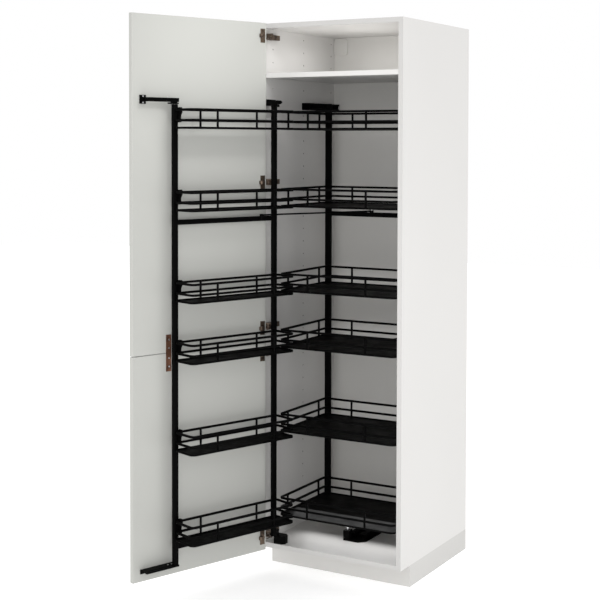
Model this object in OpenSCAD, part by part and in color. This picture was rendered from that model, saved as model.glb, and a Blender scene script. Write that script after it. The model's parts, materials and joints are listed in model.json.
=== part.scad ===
// Tall larder cabinet. Its door carries a frame of six baskets, which swings on its own
// pivots beside the door, and two link rods draw a second frame of six baskets forward.
// The model stands with the door open, as in use. Millimetres. X is the width, with 0 at
// its middle, Y is the depth, with 0 at the cabinet's front edges and + to the back, and
// Z is the height above the floor. Baskets are numbered from the top.

/* [Cabinet] */
// Outer width of the cabinet
body_w = 600; // [580:5:700]
// Depth of the side panels
body_d = 600; // [590:5:650]
// Height of the cabinet above its plinth
body_h = 2000; // [1980:5:2200]
// Thickness of the side, top, bottom and shelf panels
panel_t = 18; // [16:1:19]
// Thickness of the back panel
back_t = 8; // [6:1:10]
// Distance of the back panel from the rear edges
back_inset = 40; // [36:1:44]
// Depth of the grooves that hold the back panel
groove_depth = 6; // [4:1:8]
// Clear height of the top compartment
compartment_h = 169; // [150:1:180]
// Distance of the shelf behind the front edges
shelf_setback = 3; // [0:1:8]

/* [Shelf pin holes] */
// Radius of a shelf pin hole
pin_hole_r = 2.5; // [2:0.1:3]
// Depth of a shelf pin hole
pin_hole_depth = 12; // [8:1:13]
// Height from one shelf pin hole to the next
pin_hole_pitch = 50; // [40:1:64]
// Height of the lowest shelf pin hole above the bottom panel
pin_hole_first = 38; // [30:1:60]
// Least distance of the highest shelf pin hole below the top panel
pin_hole_end = 20; // [15:1:40]
// Distance of the first column of shelf pin holes from the front edges
pin_hole_front = 64; // [50:1:80]
// Distance of the middle column from the front edges
pin_hole_middle = 298; // [285:1:310]
// Distance of the last column from the back panel
pin_hole_back = 28; // [22:1:36]

/* [Dowels] */
// Radius of a dowel
dowel_r = 4; // [3:0.5:5]
// Length of a dowel in a side panel
dowel_in_side = 12; // [8:1:13]
// Length of a dowel in the end of a level panel
dowel_in_end = 22; // [15:1:30]
// Distance of the front dowels from the front edges
dowel_front = 40; // [30:1:50]
// Distance of the rear dowels from the back panel
dowel_back = 52; // [44:1:62]

/* [Plinth] */
// Height of the plinth
plinth_h = 80; // [60:5:150]
// Thickness of the plinth boards
plinth_t = 18; // [16:1:19]
// Distance of the plinth behind the front edges
plinth_setback = 79; // [40:1:100]
// Distance of the plinth's left side in from the cabinet's left side
plinth_left_inset = 8; // [0:1:20]
// Radius of a levelling leg
leg_r = 15; // [12:1:20]
// Radius of a leg's foot
leg_foot_r = 28; // [24:1:35]
// Thickness of a leg's foot
leg_foot_t = 6; // [4:1:10]
// Size of a leg's square head
leg_head_w = 64; // [50:1:80]
// Thickness of a leg's head
leg_head_t = 4; // [3:1:6]
// Distance of the legs from the sides
leg_side_inset = 70; // [60:1:90]
// Distance of the legs from the front and the rear edges
leg_end_inset = 150; // [140:1:180]

/* [Door] */
// Gap between the door's edges and the cabinet's outer edges
door_margin = 1.5; // [1:0.5:3]
// Thickness of the door
door_t = 18; // [16:1:19]
// Gap between the closed door and the front edges
door_gap = 2.5; // [2:0.1:3]
// Height of the lower door panel's top above the cabinet's bottom
door_seam = 800; // [750:5:845]
// Gap between the two door panels
seam_gap = 3; // [2:0.5:4]
// Angle by which the door stands open
door_angle = 109.5; // [106:0.5:110]
// Distance of the door's swing axis in from the cabinet's left side
swing_in = 14; // [13:0.5:15]
// Distance of the door's swing axis in front of the front edges
swing_out = 32; // [31:0.5:34]
// Radius of the door's rounded upright edges
door_edge_r = 2; // [2:0.5:4]
// Distance of the joining plate from the door's hinge edge
joint_plate_s = 435; // [425:1:440]
// Width of the joining plate
joint_plate_w = 21; // [18:1:24]
// Height of the joining plate
joint_plate_h = 131; // [110:1:150]
// Thickness of the joining plate
joint_plate_t = 2.5; // [2:0.5:4]
// Distances of the joining plate's screws from the seam
joint_screw_rows = [18, 48]; // [15:1:52]

/* [Hinges] */
// Distance of a hinge from the end of its door panel or of the side panel
hinge_end = 50; // [40:1:60]
// Radius of a hinge cup
cup_r = 13; // [11:0.5:15]
// Depth of a hinge cup
cup_depth = 12; // [9:0.5:13]
// Distance of a hinge cup's middle from the door's hinge edge
cup_inset = 17.5; // [17:0.5:20]
// Half the height of a hinge's plates
hinge_plate_half = 26; // [24:1:30]
// Thickness of the hinge's plate on the door
hinge_plate_t = 1.5; // [1:0.1:1.7]
// Distance of that plate's first edge from the door's hinge edge
hinge_plate_s = 7; // [7:0.5:9]
// Width of that plate
hinge_plate_w = 21; // [20:0.5:23]
// Radius of a hinge knuckle
knuckle_r = 8; // [7:0.5:8]
// Height of the knuckle's middle above the door's inner face
knuckle_rise = 4; // [3:0.5:4]
// Half the height of a knuckle
knuckle_half = 6.5; // [6:0.5:7.5]
// Distance of a knuckle's middle in from the far edge of its plate
knuckle_in = 2; // [1.5:0.5:3]
// Gap between a knuckle and the plates of its link
knuckle_gap = 0.5; // [0.4:0.1:0.6]
// Length of a hinge arm
arm_len = 77; // [70:1:85]
// Distance of a hinge arm behind the front edges
arm_y = 11; // [11:0.5:14]
// Height of a hinge arm above the side panel
arm_rise = 16; // [14:0.5:16]
// Distance of an arm's cheeks behind the front edges
cheek_y = 1; // [1:0.5:2]
// Thickness of an arm's cheeks
cheek_t = 2; // [1.5:0.1:2.2]
// Length of the cheeks along the side panel
cheek_len = 40; // [30:1:45]
// Reach of the cheeks' noses from the side panel
cheek_reach = 34; // [33:0.5:35]
// Depth of the noses
cheek_nose = 9; // [7:0.5:10]
// Distance of a hinge link from the side panel, with the door open
link_rise = 30; // [29.6:0.1:30.6]
// Length of a hinge link
link_plate_len = 40; // [36:0.5:40.5]
// Distance of a link's rear end behind the front edges, with the door open
link_back = 8; // [7.5:0.1:8.5]
// Length of the bar that joins a link's two plates
link_bar = 6; // [4:0.5:8]
// Thickness of a hinge link's plates
link_plate_t = 2; // [1.5:0.5:3]
// Width of a hinge link's plates
link_plate_w = 3; // [2:0.5:3]

/* [Frame for the door side] */
// Distance of the frame's pivots from the left side panel
pivot_in = 52; // [51:0.5:53]
// Distance of the frame's pivots behind the front edges
pivot_back = 7.5; // [7:0.5:9]
// Offset from the pivots to the pivot upright along the frame
upright_off_a = 33; // [31:0.5:35]
// Offset from the pivots to the pivot upright across the frame
upright_off_b = 24; // [23:0.5:25]
// Distance of the free upright's middle from the right side panel, with the door closed
frame_wall_gap = 28; // [28:0.5:36]
// Width of the door-side uprights
upright_w = 20; // [16:1:22]
// Depth of the uprights
upright_d = 15; // [12:1:16]
// Radius of the uprights' edges
upright_edge_r = 2; // [1:0.5:2.4]
// Height of the frame's feet above the bottom panel
frame_foot = 54; // [50:1:60]
// Height of the crossbars
bar_h = 18; // [14:1:20]
// Thickness of the crossbars
bar_t = 10; // [8:1:12]
// Drop from basket 2 to the middle crossbar
mid_bar_drop = 31.5; // [28:0.5:50]
// Drop from basket 6 to the low crossbar
low_bar_drop = 16; // [15:0.5:20]
// Length of the uprights above the top wire of basket 1
upright_top = 19.5; // [16:0.5:24]
// Radius of the pivot pins
pivot_r = 5; // [4:0.5:6]
// Radius of the pivot levers' bosses
boss_r = 10; // [8:0.5:10]
// Thickness of the lower pivot lever
base_lever_t = 12; // [10:1:14]
// Thickness of the upper pivot lever
top_lever_t = 10; // [8:1:14]
// Width of the pivot levers
lever_w = 14; // [12:1:16]
// Gap between the upper pivot lever and its bracket
bracket_gap = 1; // [0.5:0.5:2]
// Reach of the top pivot bracket ahead of the front edges
bracket_front = 1; // [0:0.5:2]
// Reach of the top pivot bracket's arm past the pivot
bracket_past = 11; // [10:0.5:12]
// Width of the top pivot bracket's arm
bracket_w = 22; // [20:1:24]
// Thickness of the top pivot bracket's arm
bracket_t = 14; // [10:1:16]
// Length of the top pivot bracket's wall plate
bracket_plate_len = 79; // [70:1:90]
// Thickness of that wall plate
bracket_plate_t = 3; // [2:0.5:4]
// Height of that wall plate above and below the arm
bracket_plate_rise = 5; // [4:0.5:6]
// Length of the adjusting stub on the arm's end
stub_len = 8; // [6:0.5:10]
// Radius of the adjusting stub
stub_r = 4; // [3:0.5:5]
// Thickness of the base pivot bracket's body
base_block_h = 30; // [26:1:32]
// Length of the base pivot bracket along the front
base_block_w = 43; // [38:1:50]
// Depth of the base pivot bracket
base_block_d = 45; // [40:1:50]
// Cut corners of the base pivot bracket
base_block_cut = 12; // [8:1:15]
// Distance of the base pivot bracket behind the front edges
base_block_y = 1; // [0:0.5:2]
// Distance of the base pivot bracket's left side from the lower pivot
base_block_left = 8; // [7.5:0.5:9]
// Radius of the collar on the base pivot bracket
collar_r = 9.5; // [9:0.1:9.6]
// Distance of that collar's middle behind the pivot
collar_back = 3; // [1:0.5:4]
// Height of the lower pivot pin's foot above the bottom panel
base_pin_foot = 6; // [4:0.5:10]
// Distance of the lower pivot pin's top below the frame's feet
base_pin_drop = 1.5; // [1:0.5:3]

/* [Baskets] */
// Height of the lowest baskets' top wire above the bottom panel
basket_first = 184; // [180:1:200]
// Distance of basket 1's top wire below the fixed shelf
basket_top_gap = 130.5; // [125:0.5:140]
// Height from basket 4 to basket 3
basket_pitch_mid = 212.5; // [200:2.5:230]
// Height from basket 2 to basket 1
basket_pitch_top = 290; // [270:5:310]
// Depth of a basket below its top wire's middle
basket_h = 67; // [60:1:80]
// Drop from the top wire to the second wire
wire_drop = 37; // [33:1:42]
// Thickness of the basket wires
wire_t = 8; // [7:0.5:8.5]
// Radius of the struts
strut_r = 3.5; // [2.5:0.1:3.5]
// Corner radius of the wires, at their middle
corner_r = 15; // [14:1:22]
// Height of the basket floor's rim
rim_h = 7; // [7:0.5:10]
// Thickness of the basket floor
basket_floor_t = 2.5; // [2:0.5:5.5]
// Thickness of the basket floor's rim
rim_t = 2.5; // [1.5:0.5:3]
// Depth of the door-side baskets, from wire to wire
door_basket_d = 103; // [90:1:104]
// Reach of the door-side baskets past the pivot upright's middle
basket_past_pivot = 1.5; // [0:0.5:4]
// Reach of the door-side baskets past the free upright's middle
basket_past_free = 6; // [3:0.5:6]
// Distance of the door-side struts from the two uprights' middles
door_strut_inset = [92, 103]; // [70:1:140]
// Distance of the rear baskets' front and back struts from their middle
rear_strut_half = 121.5; // [90:0.5:150]
// Distance of the rear baskets' side struts from the corners
rear_strut_inset = 57; // [40:1:90]
// Gap between a basket and its upright
basket_gap = 0.5; // [0.3:0.1:0.7]
// Width of a basket hook
hook_w = 6; // [4:0.5:7]
// Distance of a basket hook from its upright's inner edge
hook_in = 1; // [0.5:0.5:1.5]
// Reach of a basket hook's tabs past its upright's inner edge, under and over the wires
hook_tab = 11; // [8:0.5:13]
// Thickness of a basket hook's tabs
hook_t = 3; // [2:0.5:4]
// Gap between a hook and the wires
hook_gap = 0.4; // [0.3:0.1:0.6]
// Depth of a hook's leg at its top
hook_leg_top = 8; // [6:0.5:9]
// Depth of a hook's leg at its foot
hook_leg_foot = 3; // [2:0.5:4]

/* [Frame in the cabinet] */
// Way that the rear frame travels
rear_travel = 184; // [180:1:188]
// Gap between the two frames' basket wires with the door closed
frames_gap = 27.5; // [26:0.5:32]
// Distance of the rear baskets from the left side panel
rear_left_gap = 75; // [74:1:90]
// Distance of the rear baskets from the right side panel
rear_right_gap = 2; // [2:0.5:6]
// Gap between the closed rear frame and the back panel
rear_back_gap = 4.7; // [4:0.1:8]
// Width of the rear uprights
rear_upright_w = 25; // [20:1:26]
// Reach of the left rear upright past the baskets
rear_upright_past = 4.5; // [2:0.5:6]
// Length of the rear uprights above the top wire of basket 1
rear_upright_top = 40.5; // [38:0.5:44]

/* [Link rods] */
// Distance of the rods' front pivots from the pivot upright, along the frame
link_a = 69.8; // [69:0.1:71]
// Distance of the rods' front pivots from the frame's plane
link_b = 13.5; // [13:0.1:14]
// Distance of the rods' rear pivots from the left side panel
link_rear = 277.5; // [270:0.5:285]
// Radius of the rods
rod_r = 3; // [2.5:0.1:3.5]
// Radius of the rods' eyes
eye_r = 8; // [7:0.5:9]
// Thickness of the rods' eyes
eye_t = 7; // [6.5:0.1:7.5]
// Radius of the rods' pins
rod_pin_r = 4; // [3:0.5:5]
// Height of the rods' middle above the crossbars
rod_lift = 5; // [4.9:0.1:6]
// Radius of the rods' pin heads
rod_pin_head_r = 7; // [6:0.5:8]
// Thickness of the rods' pin heads
rod_pin_head_t = 2; // [1.5:0.5:3]
// Height of a rod's seat above the underside of its crossbar
rod_seat_up = 4; // [2:0.5:6]
// Height of a rear rod pin's foot above the underside of its crossbar
rod_pin_up = 8; // [6:0.5:10]

/* [Guides in the cabinet] */
// Width of the top guide rail
guide_w = 32; // [28:1:34]
// Height of the top guide rail
guide_h = 27; // [24:1:30]
// Wall of the top guide rail
guide_wall = 2.5; // [2:0.5:3]
// Slot of the top guide rail
guide_slot = 13; // [12:0.5:15]
// Reach of the top guide rail ahead of its carriage, with the door open
guide_lead = 37.3; // [30:0.1:45]
// Gap between the closed top carriage and the cap on the rail's rear end
guide_end_gap = 0.7; // [0.5:0.1:2]
// Thickness of that cap
guide_cap_t = 3; // [2:0.5:5]
// Length of the top carriage in its rail
slider_len = 28; // [24:1:30]
// Distance of the top carriage's rear end ahead of the rear uprights' backs
slider_back = 13; // [10:1:16]
// Distance of the carriage's arm behind the carriage's front end
slider_arm_in = 14; // [10:1:16]
// Reach of that arm past the carriage's rear end
slider_arm_past = 8; // [4:1:10]
// Running gap of the carriages in their rails
slide_gap = 0.5; // [0.3:0.1:0.7]
// Width of the base runner's plate
runner_w = 88; // [80:1:95]
// Thickness of the base runner's plate
runner_t = 3; // [2:0.5:4]
// Distance of the base runner's left edge from the left side panel
runner_in = 254; // [248:1:260]
// Distance of the base runner behind the front edges
runner_front = 170; // [160:1:180]
// Cut corner of the base runner
runner_cut = 24; // [18:1:30]
// Width of the base runner's channel
channel_w = 70; // [60:1:80]
// Height of the base runner's channel
channel_h = 22; // [18:1:26]
// Wall of the base runner's channel
channel_wall = 3; // [2:0.5:4]
// Width of the slot in the base runner's channel
channel_slot = 20; // [17:0.5:22]
// Length of the base carriage
carriage_len = 36; // [32:1:36]
// Distance of the base carriage's rear end ahead of the rear uprights' backs
carriage_back = 1; // [0:0.5:3]
// Width of the post on the base carriage
post_w = 14; // [12:1:16]
// Width of the runner's stop block
stop_w = 24; // [20:1:24]
// Depth of the runner's stop block
stop_d = 28; // [24:1:34]
// Height of the runner's stop block
stop_h = 39; // [34:1:42]
// Distance of the stop block behind the runner's front edge
stop_back = 2; // [1:0.5:4]
// Gap between the stop block and the channel
stop_gap = 2; // [1:0.5:4]
// Radius of the runner's stop pin
stop_pin_r = 4; // [3:0.5:5]
// Depth of the stop pin in its block
stop_pin_deep = 16; // [12:1:20]
// Height of the stop pin above its block
stop_pin_rise = 8; // [6:1:10]

/* [Rails on the door] */
// Width of the top door rail
rail_w = 16; // [15:0.5:17]
// Height of the top door rail
rail_h = 14; // [13:0.5:15]
// Wall of the top door rail
rail_wall = 2; // [1.5:0.5:2.5]
// Gap between the free upright and the door carriages
carriage_gap = 0.8; // [0.6:0.1:0.9]
// Thickness of the top carriage's plate
carriage_plate_t = 5; // [4:0.5:6]
// Distance between the top rail and its carriage's plate
rail_drop = 2.2; // [2:0.1:3]
// Length that the carriages run along the door
carriage_run = 112; // [111.5:0.1:112.5]
// Reach of the top door rail before and past the carriage's run
top_rail_past = [13.5, 16.5]; // [13:0.5:18]
// Reach of the bottom door rail before and past the carriage's run
bottom_rail_past = [10.5, 14.5]; // [9:0.5:20]
// Depth of the bottom door rail
bottom_rail_d = 44; // [42:1:46]
// Thickness of the bottom door rail
bottom_rail_t = 6; // [5:0.5:7]
// Drop from the frame's feet to the underside of the bottom door rail
bottom_rail_drop = 33; // [31:0.5:35]
// Height of the bottom rail's lip on the door
lip_h = 10; // [9:0.5:14]
// Thickness of that lip
lip_t = 3; // [2.5:0.5:4]
// Distance of the lip's screws from its ends
lip_screw_end = 24; // [18:1:30]
// Distances of the level screws from the bottom rail's first end
level_screw_s = [16, 33]; // [12:1:44]
// Distance of the level screws from the door
level_screw_b = 20; // [10:1:20]
// Radius of the bottom carriage's guide pin
guide_pin_r = 3; // [2.5:0.1:3.5]
// Radius of the bottom carriage's disc
disc_r = 9; // [8:0.5:10]
// Height of the disc's top above the rail
disc_t = 7; // [5:0.5:9]
// Radius of the stem on the disc
stem_r = 6; // [5:0.5:7]
// Width of the lips beside the top rail's slot
rail_lip = 4; // [3.5:0.5:4.5]
// Gap between those lips and the top carriage's neck
neck_gap = 1; // [0.5:0.5:1.5]
// Reach of the top carriage's slider before and past the free upright's middle
slider_past = [10, 15]; // [8:0.5:16]
// Reach of the top carriage's plate before and past the free upright's middle
plate_past = [12.5, 24.5]; // [11:0.5:26]
// Distance of the stud on the top rail from the rail's first end
stud_s = 44; // [38:1:50]
// Height of that stud
stud_h = 4; // [3:0.5:5]
// Width of the top rail's flange on the door
flange_w = 25; // [22:1:28]
// Height of the top rail's flange
flange_h = 31; // [30:1:34]
// Thickness of the top rail's flange
flange_t = 4; // [3:0.5:5]
// Distance of the flange's first edge from the top rail's far end
flange_reach = 28; // [26:1:30]
// Drop of the flange below the top rail
flange_drop = 8; // [7:0.5:9]
// Distances of the two ends of the flange's foot from the top rail's far end
foot_reach = [26, 5]; // [4:0.5:27]
// Height of the foot between the flange and the rail
foot_h = 5; // [4:0.5:7]
// Distance of the flange's outer screws from the top rail's far end
flange_screw_end = 15; // [12:0.5:17]
// Height of the upper flange screw above the top rail
flange_screw_over = 4.5; // [4:0.5:5]
// Drop of the lower flange screw below the top rail
flange_screw_under = 4; // [3.5:0.5:4.5]
// Place of the middle flange screw from the top rail's far end, and above its underside
flange_screw_mid = [20, 9]; // [7:0.5:22]
// Radius of a screw's head
screw_head_r = 3; // [2.5:0.1:3.2]
// Thickness of a screw's head
screw_head_t = 2; // [1.5:0.1:2.5]
// Radius of a screw's shank
screw_r = 1.6; // [1.2:0.1:2]
// Length of a screw in the door
screw_len = 11; // [9:1:13]

/* [Hidden] */
$fn = 48;

BASKETS = [1:6];
WHITE = "whitesmoke";
PALE = "gainsboro";
BLACK = "#2f2f2e";
BRONZE = "#6b5a4b";
STEEL = "silver";

// Cuts run this far past the faces that they open
cut = 1;
// Radial clearance of pins and dowels in their holes
pin_fit = 0.05;
// Gap between a sliding or turning piece and its seat
seat_gap = 0.3;
// Gap between a pin's end and the face that it must not touch
pin_float = 0.5;

// Cabinet faces
half_w = body_w / 2;
inner_x = half_w - panel_t;
inner_w = 2 * inner_x;
floor_z = plinth_h + panel_t;
top_z = plinth_h + body_h;
roof_z = top_z - panel_t;
back_y = body_d - back_inset - back_t;
shelf_z = roof_z - compartment_h - panel_t;
pin_hole_rows = floor((roof_z - floor_z - pin_hole_first - pin_hole_end) / pin_hole_pitch);
pin_hole_columns = [pin_hole_front, pin_hole_middle, back_y - pin_hole_back];
dowel_last = back_y - dowel_back;
dowel_rows = [dowel_front, (dowel_front + dowel_last) / 2, dowel_last];

// Door, in its own frame: x along the door from its hinge edge, y inwards from its face
door_w = body_w - 2 * door_margin;
door_bottom = plinth_h + door_margin;
door_top = top_z - door_margin;
seam_z = plinth_h + door_seam;
swing_x = -half_w + swing_in;
swing_y = -swing_out;
knuckle_s = hinge_plate_s + hinge_plate_w - knuckle_in;
link_low = knuckle_half + knuckle_gap;
hinge_heights = [
    hinge_end, door_seam - hinge_end, door_seam + hinge_end, (door_seam + body_h) / 2,
    body_h - hinge_end
];

// Baskets: the height from the lowest to the highest, and the pitch of those evenly spaced
basket_rise = shelf_z - basket_top_gap - floor_z - basket_first;
basket_pitch = (basket_rise - basket_pitch_mid - basket_pitch_top) / 3;

// Door-side frame, in its own frame: x along it from the pivot upright, y inwards
pivot_x = -inner_x + pivot_in;
frame_w = inner_w - pivot_in - upright_off_a - frame_wall_gap;
frame_bottom = floor_z + frame_foot;
frame_top = basket_z(1) + upright_top;
wire_b0 = upright_d / 2 + basket_gap + wire_t / 2;
door_basket_w = frame_w + basket_past_pivot + basket_past_free;
mid_bar_z = basket_z(2) - basket_h - mid_bar_drop - bar_h;
low_bar_z = basket_z(6) - basket_h - low_bar_drop - bar_h;

// Rear frame, drawn forward by its travel
rear_front_y = pivot_back + upright_off_b + wire_b0 + door_basket_d + frames_gap - rear_travel;
rear_upright_y = back_y - rear_back_gap - rear_travel - upright_d / 2;
rear_basket_d = rear_upright_y - wire_b0 - rear_front_y;
rear_left_x = -inner_x + rear_left_gap + wire_t / 2;
rear_right_x = inner_x - rear_right_gap - wire_t / 2;
rear_basket_w = rear_right_x - rear_left_x;
left_upright_x = rear_left_x - wire_t / 2 - rear_upright_past + rear_upright_w / 2;
right_upright_x = rear_right_x + wire_t / 2 - rear_upright_w / 2;
rear_top = basket_z(1) + rear_upright_top;

// Rails and carriages
link_rear_x = -inner_x + link_rear;
guide_z = rear_top + guide_wall - guide_h;
guide_mid = guide_z + guide_h / 2;
slider_y = rear_upright_y + upright_d / 2 - slider_len - slider_back;
guide_front = slider_y - guide_lead;
guide_end = slider_y + slider_len + rear_travel + guide_end_gap;
channel_x = -inner_x + runner_in + runner_w / 2;
stop_y = runner_front + stop_back;
channel_y = stop_y + stop_d + stop_gap;
runner_len = back_y - rear_back_gap - runner_front;
carriage_y = rear_upright_y + upright_d / 2 - carriage_len - carriage_back;
rail_b = pivot_back + upright_off_b + door_gap;
carriage_s = pivot_x + upright_off_a + frame_w + half_w - door_margin - carriage_run;
carriage_end = carriage_s + carriage_run;
top_rail_ends = [carriage_s - top_rail_past[0], carriage_end + top_rail_past[1]];
bottom_rail_ends = [carriage_s - bottom_rail_past[0], carriage_end + bottom_rail_past[1]];
top_bracket_z = frame_top + top_lever_t + bracket_gap;
top_plate_z = frame_top + carriage_gap;
top_rail_z = top_plate_z + carriage_plate_t + rail_drop;
bottom_rail_z = frame_bottom - bottom_rail_drop;

// Height of a basket's top wire, with basket 1 at the top
function basket_z(i) =
    let (step = 6 - i)
    floor_z + basket_first
    + basket_pitch * (step - (step > 2 ? 1 : 0) - (step > 4 ? 1 : 0))
    + (step > 2 ? basket_pitch_mid : 0)
    + (step > 4 ? basket_pitch_top : 0);

// Places of the rod ends
function turned(p, angle) = [
    p[0] * cos(angle) - p[1] * sin(angle),
    p[0] * sin(angle) + p[1] * cos(angle)
];
rod_front = [pivot_x, pivot_back]
    + turned([upright_off_a + link_a, upright_off_b + link_b], -door_angle);
rod_rear = [link_rear_x, rear_upright_y];

module in_door() {
    translate([swing_x, swing_y, 0])
    rotate(-door_angle)
    translate([-half_w + door_margin - swing_x, -door_gap - swing_y, 0])
    children();
}

module in_front_frame() {
    translate([pivot_x, pivot_back, 0])
    rotate(-door_angle)
    translate([upright_off_a, upright_off_b, 0])
    children();
}

// Box from one corner to the opposite one
module block(low, high) {
    translate(low) cube(high - low);
}

// Straight pin from one height to another
module post(x, y, z0, z1, r) {
    translate([x, y, z0]) cylinder(h = z1 - z0, r = r);
}

// Rectangle with round corners, from its own corner
module round_rect(w, d, r) {
    translate([r, 0]) square([w - 2 * r, d]);
    translate([0, r]) square([w, d - 2 * r]);
    for (x = [r, w - r], y = [r, d - r]) {
        translate([x, y]) circle(r);
    }
}

// ---------- Cabinet ----------

// Dowels or their holes at both ends of the three level panels
module dowel_set(extra) {
    for (z = [floor_z - panel_t / 2, shelf_z + panel_t / 2, roof_z + panel_t / 2]) {
        for (y = dowel_rows, side = [-1, 1]) {
            translate([side * inner_x, y, z])
            rotate([0, 90 * side, 0])
            translate([0, 0, -dowel_in_end - extra])
            cylinder(h = dowel_in_end + dowel_in_side + 2 * extra, r = dowel_r + extra, $fn = 32);
        }
    }
}

module back_groove() {
    block([-inner_x - groove_depth, back_y, floor_z - groove_depth],
        [inner_x + groove_depth, back_y + back_t, roof_z + groove_depth]);
}

// A side panel, with side = -1 on the left and 1 on the right
module side_panel(side) {
    color(WHITE)
    difference() {
        translate([side > 0 ? inner_x : -half_w, 0, plinth_h]) cube([panel_t, body_d, body_h]);
        back_groove();
        dowel_set(pin_fit);
        for (row = [0:pin_hole_rows], y = pin_hole_columns) {
            translate([side * (inner_x - cut), y, floor_z + pin_hole_first + row * pin_hole_pitch])
            rotate([0, 90 * side, 0])
            cylinder(h = pin_hole_depth + cut, r = pin_hole_r, $fn = 24);
        }
    }
}

module level_panel(z) {
    color(WHITE)
    difference() {
        block([-inner_x, 0, z], [inner_x, body_d, z + panel_t]);
        back_groove();
        dowel_set(pin_fit);
    }
}

module back_panel() {
    color(PALE) back_groove();
}

module fixed_shelf() {
    color(WHITE)
    difference() {
        block([-inner_x, shelf_setback, shelf_z], [inner_x, back_y, shelf_z + panel_t]);
        dowel_set(pin_fit);
    }
}

module carcass_dowels() {
    color("burlywood") dowel_set(0);
}

module plinth_front() {
    color(WHITE)
    block([-half_w + plinth_left_inset, plinth_setback, 0],
        [half_w, plinth_setback + plinth_t, plinth_h]);
}

// A side board of the plinth, from its outer face inwards
module plinth_side(x) {
    color(WHITE)
    block([x, plinth_setback + plinth_t, 0], [x + plinth_t, body_d, plinth_h]);
}

module levelling_legs() {
    leg_x = inner_x - leg_side_inset;
    color(BLACK)
    for (x = [-leg_x, leg_x], y = [leg_end_inset, body_d - leg_end_inset]) {
        post(x, y, 0, leg_foot_t, leg_foot_r);
        post(x, y, leg_foot_t, plinth_h - leg_head_t, leg_r);
        translate([x - leg_head_w / 2, y - leg_head_w / 2, plinth_h - leg_head_t])
        cube([leg_head_w, leg_head_w, leg_head_t]);
    }
}

// ---------- Hinges ----------

// Puts a hinge part at the height of each hinge
module at_hinges() {
    for (h = hinge_heights) {
        translate([0, 0, plinth_h + h]) children();
    }
}

// Arm on the side panel, with two cheeks between which the link slides
module hinge_arms() {
    cheek_low = link_low + link_plate_t + seat_gap;
    color(BRONZE)
    at_hinges() {
        block([-inner_x, arm_y, -cheek_low], [-inner_x + arm_rise, arm_y + arm_len, cheek_low]);
        for (z = [-cheek_low - cheek_t, cheek_low]) {
            block([-inner_x, cheek_y, z], [-inner_x + arm_rise, cheek_y + cheek_len, z + cheek_t]);
            block([-inner_x, cheek_y, z], [-inner_x + cheek_reach, cheek_y + cheek_nose, z + cheek_t]);
        }
    }
}

// Fork that follows the door: closed it lies beside the arm, open it stands forward
module hinge_links() {
    x0 = -inner_x + link_rise;
    x1 = x0 + link_plate_w;
    color(BRONZE)
    at_hinges() {
        for (z = [-link_low - link_plate_t, link_low]) {
            block([x0, link_back - link_plate_len, z], [x1, link_back, z + link_plate_t]);
        }
        block([x0, link_back - link_bar, -link_low], [x1, link_back, link_low]);
    }
}

// Cup in the door, its plate and the round knuckle
module hinge_cups() {
    color(BRONZE)
    in_door() at_hinges() {
        translate([cup_inset, 0, 0]) rotate([90, 0, 0]) cylinder(h = cup_depth, r = cup_r);
        block([hinge_plate_s, 0, -hinge_plate_half],
            [hinge_plate_s + hinge_plate_w, hinge_plate_t, hinge_plate_half]);
        difference() {
            post(knuckle_s, knuckle_rise, -knuckle_half, knuckle_half, knuckle_r);
            block([knuckle_s - knuckle_r - cut, -knuckle_r, -knuckle_half - cut],
                [knuckle_s + knuckle_r + cut, 0, knuckle_half + cut]);
        }
    }
}

// ---------- Door ----------

// Screw with its head on the face y = face, pointing into the door
module door_screw(s, z, face, extra) {
    translate([s, face, z])
    rotate([90, 0, 0])
    cylinder(h = face + screw_len + extra, r = screw_r + extra, $fn = 24);
}

function flange_screws() = [
    [top_rail_ends[1] - flange_screw_end, top_rail_z + rail_h + flange_screw_over],
    [top_rail_ends[1] - flange_screw_end, top_rail_z - flange_screw_under],
    [top_rail_ends[1] - flange_screw_mid[0], top_rail_z + flange_screw_mid[1]]
];
function lip_screws() = [
    for (s = [bottom_rail_ends[0] + lip_screw_end, bottom_rail_ends[1] - lip_screw_end])
        [s, bottom_rail_z - lip_h / 2]
];
function joint_screws() = [
    for (side = [-1, 1], z = joint_screw_rows) [joint_plate_s + joint_plate_w / 2, seam_z + side * z]
];

// Holes in the door for hinge cups and screws
module door_holes() {
    at_hinges() {
        translate([cup_inset, cut, 0])
        rotate([90, 0, 0])
        cylinder(h = cup_depth + cut, r = cup_r + pin_fit);
    }
    for (p = flange_screws()) door_screw(p[0], p[1], cut, pin_fit);
    for (p = lip_screws()) door_screw(p[0], p[1], cut, pin_fit);
    for (p = joint_screws()) door_screw(p[0], p[1], cut, pin_fit);
}

module door_panel(z0, z1) {
    color(PALE)
    in_door()
    difference() {
        translate([0, -door_t, z0])
        linear_extrude(z1 - z0)
        round_rect(door_w, door_t, door_edge_r);
        door_holes();
    }
}

module door_upper_panel() {
    door_panel(seam_z + seam_gap / 2, door_top);
}

module door_lower_panel() {
    door_panel(door_bottom, seam_z - seam_gap / 2);
}

module joining_plate() {
    color("#7a5a48")
    in_door()
    difference() {
        block([joint_plate_s, 0, seam_z - joint_plate_h / 2],
            [joint_plate_s + joint_plate_w, joint_plate_t, seam_z + joint_plate_h / 2]);
        for (p = joint_screws()) door_screw(p[0], p[1], joint_plate_t + cut, pin_fit);
    }
}

// A screw's shank and its head, whose seat is the face y = face
module screw(s, z, face) {
    door_screw(s, z, face, 0);
    translate([s, face + screw_head_t, z])
    rotate([90, 0, 0])
    cylinder(h = screw_head_t, r = screw_head_r, $fn = 24);
}

module joining_screws() {
    color(STEEL)
    in_door()
    for (p = joint_screws()) screw(p[0], p[1], joint_plate_t);
}

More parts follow.
